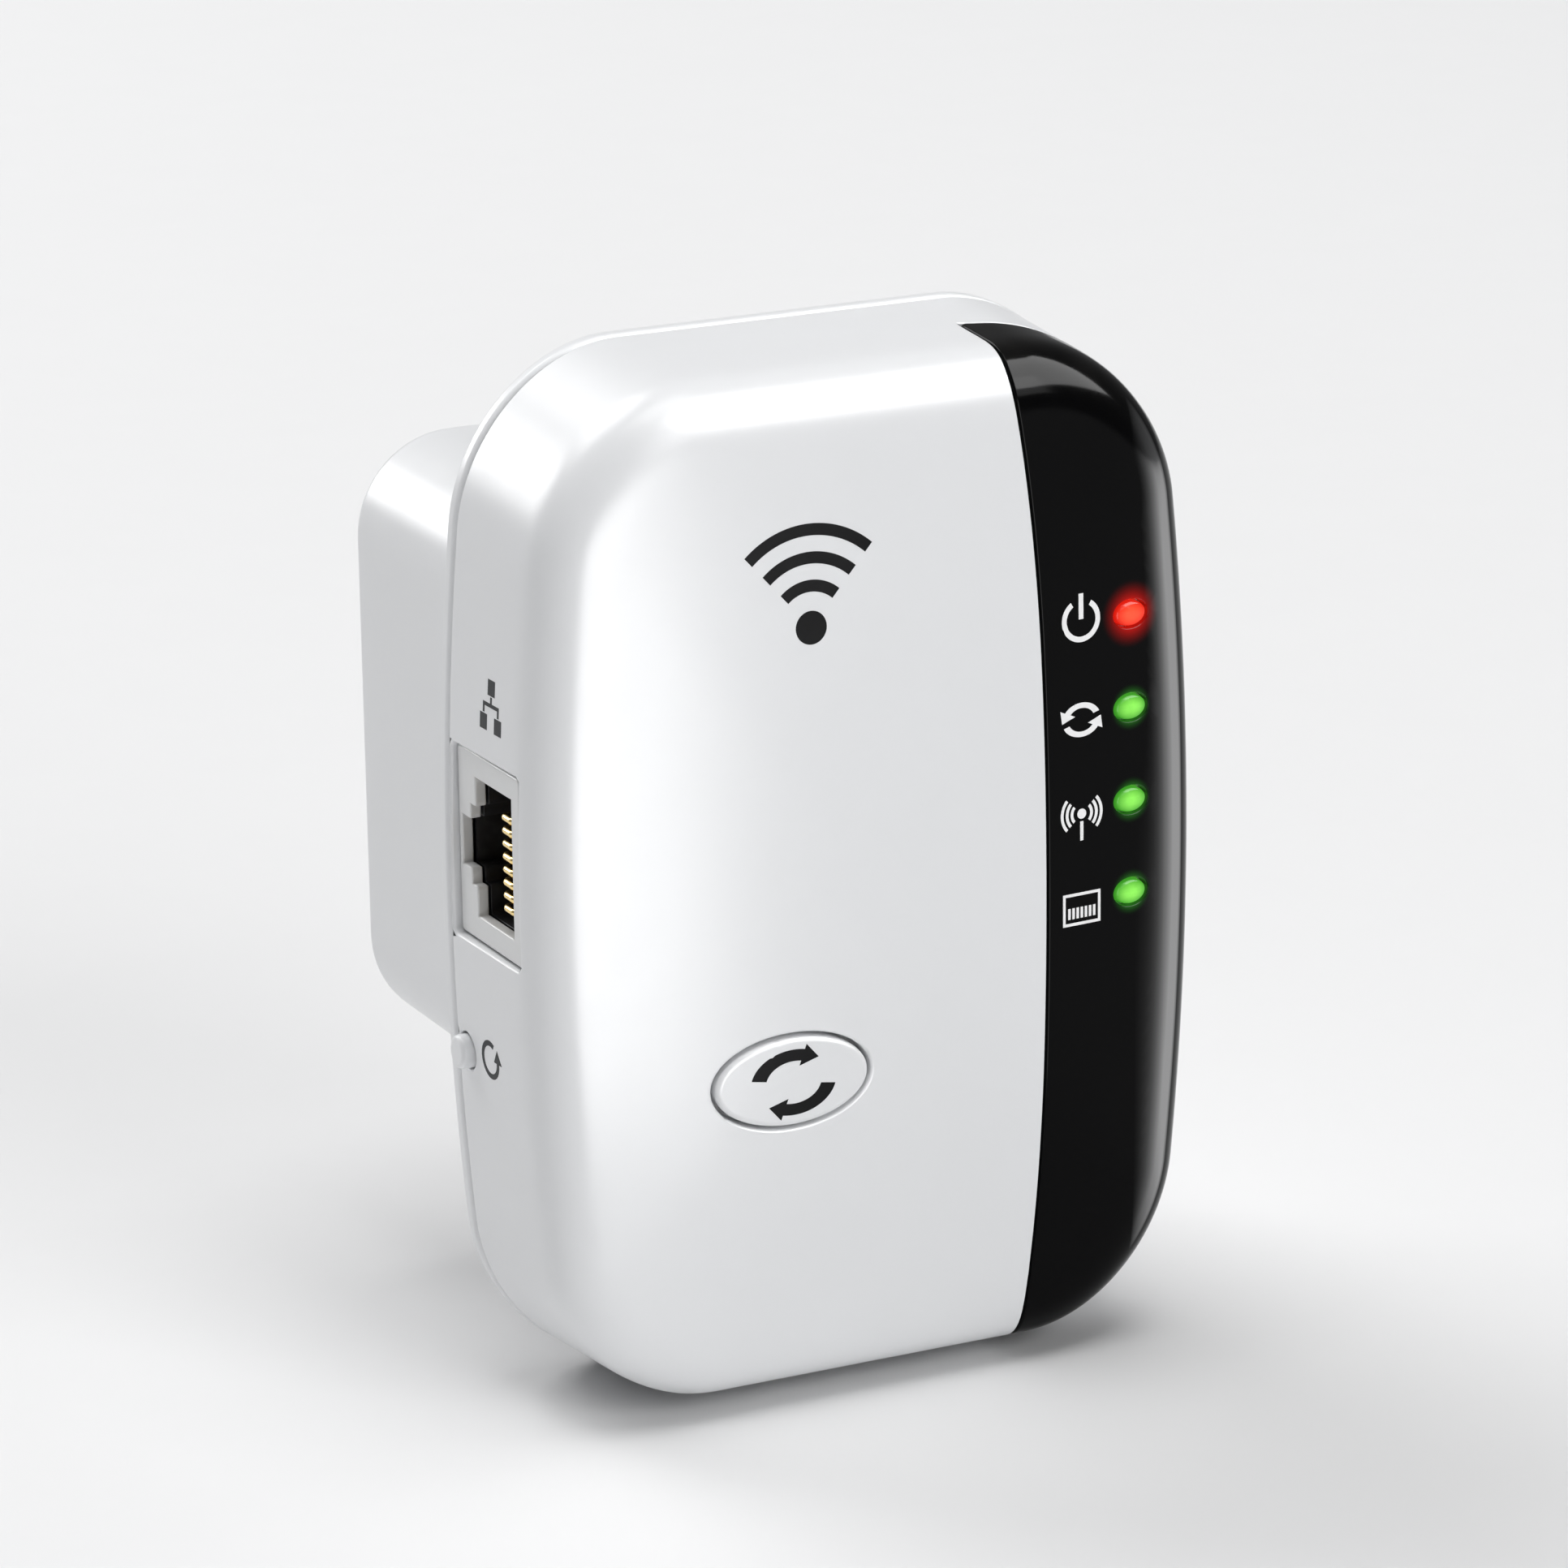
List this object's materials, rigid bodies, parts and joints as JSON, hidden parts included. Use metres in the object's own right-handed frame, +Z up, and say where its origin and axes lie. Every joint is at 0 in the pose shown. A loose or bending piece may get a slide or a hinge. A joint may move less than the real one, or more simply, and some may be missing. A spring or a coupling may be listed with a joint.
{
  "type": "wifi range extender",
  "caption": "Plug-in wireless range extender: bowed white housing with a black status strip, a network jack on its side, an oval pairing button and a square plug block with flat blades.",
  "frame": {"origin": "centre of the plug block's flat wall face, midway between the two blades", "axes": "+Y out of the wall face along the blades, +Z up along the housing's long side, +X to the right seen from the front"},
  "size_m": [0.0624, 0.0671, 0.0885],
  "materials": {
    "shell_white": "glossy white moulded plastic",
    "panel_black": "deep gloss black moulded plastic",
    "lens_red": "clear light pipe lit red",
    "lens_green": "clear light pipe lit green",
    "jack_frame": "light grey moulded plastic",
    "jack_dark": "black moulded plastic",
    "contact_gold": "gold plated spring wire",
    "blade_nickel": "nickel plated brass",
    "screw_steel": "zinc plated steel",
    "board_green": "green solder mask over glass fibre board",
    "chip_black": "moulded black epoxy",
    "led_white": "pale resin chip",
    "shield_tin": "tin plated sheet",
    "antenna_brass": "stamped brass sheet",
    "ferrite_grey": "sintered ferrite",
    "winding_tape": "yellow polyester tape",
    "cap_sleeve": "dark blue shrink sleeve",
    "resistor_body": "grey green lacquer",
    "lead_red": "soft wire insulation",
    "label_grey": "blank paper label",
    "plunger_grey": "grey moulded plastic"
  },
  "bodies": {
    "housing": {"front_cover": "shell_white", "rear_cover": "shell_white", "status_panel": "panel_black", "plug_block": "shell_white", "blade_left": "blade_nickel", "blade_right": "blade_nickel", "pairing_switch_body": "chip_black", "reset_switch_body": "chip_black", "lan_jack_body": "jack_frame", "lan_jack_insert": "jack_dark", "lan_contact_1": "contact_gold", "lan_contact_2": "contact_gold", "lan_contact_3": "contact_gold", "lan_contact_4": "contact_gold", "lan_contact_5": "contact_gold", "lan_contact_6": "contact_gold", "lan_contact_7": "contact_gold", "lan_contact_8": "contact_gold", "led_lens_1": "lens_red", "led_lens_2": "lens_green", "led_lens_3": "lens_green", "led_lens_4": "lens_green", "led_chip_1": "led_white", "led_chip_2": "led_white", "led_chip_3": "led_white", "led_chip_4": "led_white", "main_board": "board_green", "power_board": "board_green", "radio_shield": "shield_tin", "flash_chip": "chip_black", "lan_transformer": "chip_black", "crystal": "shield_tin", "antenna_left": "antenna_brass", "antenna_right": "antenna_brass", "board_connector": "chip_black", "transformer_core": "ferrite_grey", "transformer_winding": "winding_tape", "input_capacitor": "cap_sleeve", "output_capacitor": "cap_sleeve", "bridge_rectifier": "chip_black", "fuse_resistor": "resistor_body", "blade_lead_left": "lead_red", "blade_lead_right": "lead_red", "housing_screw_1": "screw_steel", "housing_screw_2": "screw_steel", "housing_screw_3": "screw_steel", "housing_screw_4": "screw_steel", "main_board_screw_1": "screw_steel", "main_board_screw_2": "screw_steel", "back_label": "label_grey"},
    "pairing_button": {"pairing_button": "shell_white"},
    "pairing_plunger": {"pairing_switch_plunger": "plunger_grey"},
    "reset_button": {"reset_button": "shell_white"},
    "reset_plunger": {"reset_switch_plunger": "plunger_grey"}
  },
  "joints": [
    {"name": "pairing_button_press", "type": "slide", "parent": "housing", "child": "pairing_button", "axis": [0, 1, 0], "range_m": [0, 0.0004], "stiffness_N_per_m": 500, "springref_m": -0.0001},
    {"name": "pairing_plunger_press", "type": "slide", "parent": "housing", "child": "pairing_plunger", "axis": [0, 1, 0], "range_m": [0, 0.0004]},
    {"name": "reset_button_press", "type": "slide", "parent": "housing", "child": "reset_button", "axis": [1, 0, 0], "range_m": [0, 0.0005], "stiffness_N_per_m": 400, "springref_m": -0.0001},
    {"name": "reset_plunger_press", "type": "slide", "parent": "housing", "child": "reset_plunger", "axis": [1, 0, 0], "range_m": [0, 0.0005]}
  ],
  "couplings": [
    {"joint": "pairing_plunger_press", "follows": "pairing_button_press", "ratio": 1},
    {"joint": "reset_plunger_press", "follows": "reset_button_press", "ratio": 1}
  ]
}
